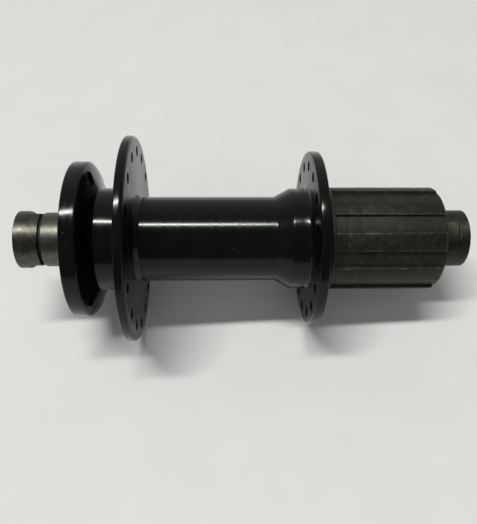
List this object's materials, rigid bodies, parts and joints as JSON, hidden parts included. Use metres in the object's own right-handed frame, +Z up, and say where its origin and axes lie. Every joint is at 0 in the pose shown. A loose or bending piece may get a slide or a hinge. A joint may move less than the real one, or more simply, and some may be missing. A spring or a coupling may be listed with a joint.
{
  "type": "bicycle rear hub assembly",
  "caption": "Rear thru-axle hub: turned shell with two spoke flanges, disc-brake mount, ratchet freehub with splined driver, sealed bearings, hollow axle and end nuts.",
  "frame": {"origin": "on the axle's axis, midway between the two end faces", "axes": "+Y along the axle towards the disc side, -Y towards the drive side, +X forward on the bicycle, +Z up"},
  "size_m": [0.068, 0.148, 0.068],
  "materials": {
    "black_anodised": "turned and black anodised",
    "turned_steel": "turned, nickel plated",
    "dark_steel": "black oxide",
    "silver_aluminium": "turned",
    "bearing_steel": "ground",
    "spring_steel": "bright",
    "black_rubber": "matte",
    "ball_cage": "pressed and polished"
  },
  "bodies": {
    "axle": {"axle": "silver_aluminium", "disc_side_spacer": "turned_steel", "disc_lock_washer": "dark_steel", "ratchet_spacer": "silver_aluminium", "freehub_inner_spacer": "silver_aluminium", "drive_side_spacer": "silver_aluminium", "drive_side_dust_shield": "spring_steel", "disc_end_locknut": "turned_steel", "drive_end_locknut": "dark_steel", "disc_bearing_inner_race": "bearing_steel", "drive_bearing_inner_race": "bearing_steel", "inboard_bearing_inner_race": "bearing_steel", "outboard_bearing_inner_race": "bearing_steel"},
    "shell": {"hub_shell": "black_anodised", "ratchet_ring": "dark_steel", "disc_side_dust_seal": "black_rubber", "disc_bearing_outer_race": "bearing_steel", "disc_bearing_disc_side_seal": "black_rubber", "disc_bearing_drive_side_seal": "black_rubber", "drive_bearing_outer_race": "bearing_steel", "drive_bearing_disc_side_seal": "black_rubber", "drive_bearing_drive_side_seal": "black_rubber"},
    "freehub": {"freehub_body": "dark_steel", "freehub_outer_spacer": "silver_aluminium", "freehub_rubber_seal": "black_rubber", "freehub_circlip": "spring_steel", "pawl_spring_1": "spring_steel", "pawl_spring_2": "spring_steel", "pawl_spring_3": "spring_steel", "inboard_bearing_outer_race": "bearing_steel", "inboard_bearing_disc_side_seal": "black_rubber", "inboard_bearing_drive_side_seal": "black_rubber", "outboard_bearing_outer_race": "bearing_steel", "outboard_bearing_disc_side_seal": "black_rubber", "outboard_bearing_drive_side_seal": "black_rubber"},
    "pawl_1": {"pawl_1": "dark_steel"},
    "pawl_2": {"pawl_2": "dark_steel"},
    "pawl_3": {"pawl_3": "dark_steel"},
    "disc_cage": {"disc_bearing_ball_cage": "ball_cage"},
    "drive_cage": {"drive_bearing_ball_cage": "ball_cage"},
    "inboard_cage": {"inboard_bearing_ball_cage": "ball_cage"},
    "outboard_cage": {"outboard_bearing_ball_cage": "ball_cage"}
  },
  "joints": [
    {"name": "shell_spin", "type": "hinge", "parent": "axle", "child": "shell", "pos_m": [0, 0, 0], "axis": [0, 1, 0], "continuous": true},
    {"name": "freehub_spin", "type": "hinge", "parent": "axle", "child": "freehub", "pos_m": [0, 0, 0], "axis": [0, 1, 0], "continuous": true},
    {"name": "pawl_1_swing", "type": "hinge", "parent": "freehub", "child": "pawl_1", "pos_m": [0.01086, 0, 0.00231], "axis": [0, 1, 0], "range_deg": [0, 8], "stiffness_Nm_per_rad": 0.01, "springref_deg": -17.19, "deforming": ["pawl_spring_1"]},
    {"name": "pawl_2_swing", "type": "hinge", "parent": "freehub", "child": "pawl_2", "pos_m": [-0.00343, 0, -0.01056], "axis": [0, 1, 0], "range_deg": [0, 8], "stiffness_Nm_per_rad": 0.01, "springref_deg": -17.19, "deforming": ["pawl_spring_2"]},
    {"name": "pawl_3_swing", "type": "hinge", "parent": "freehub", "child": "pawl_3", "pos_m": [-0.00743, 0, 0.00825], "axis": [0, 1, 0], "range_deg": [0, 8], "stiffness_Nm_per_rad": 0.01, "springref_deg": -17.19, "deforming": ["pawl_spring_3"]},
    {"name": "disc_cage_spin", "type": "hinge", "parent": "axle", "child": "disc_cage", "pos_m": [0, 0, 0], "axis": [0, 1, 0], "continuous": true},
    {"name": "drive_cage_spin", "type": "hinge", "parent": "axle", "child": "drive_cage", "pos_m": [0, 0, 0], "axis": [0, 1, 0], "continuous": true},
    {"name": "inboard_cage_spin", "type": "hinge", "parent": "axle", "child": "inboard_cage", "pos_m": [0, 0, 0], "axis": [0, 1, 0], "continuous": true},
    {"name": "outboard_cage_spin", "type": "hinge", "parent": "axle", "child": "outboard_cage", "pos_m": [0, 0, 0], "axis": [0, 1, 0], "continuous": true}
  ],
  "couplings": [
    {"joint": "disc_cage_spin", "follows": "shell_spin", "ratio": 0.5787},
    {"joint": "drive_cage_spin", "follows": "shell_spin", "ratio": 0.5728},
    {"joint": "inboard_cage_spin", "follows": "freehub_spin", "ratio": 0.5787},
    {"joint": "outboard_cage_spin", "follows": "freehub_spin", "ratio": 0.5787}
  ]
}
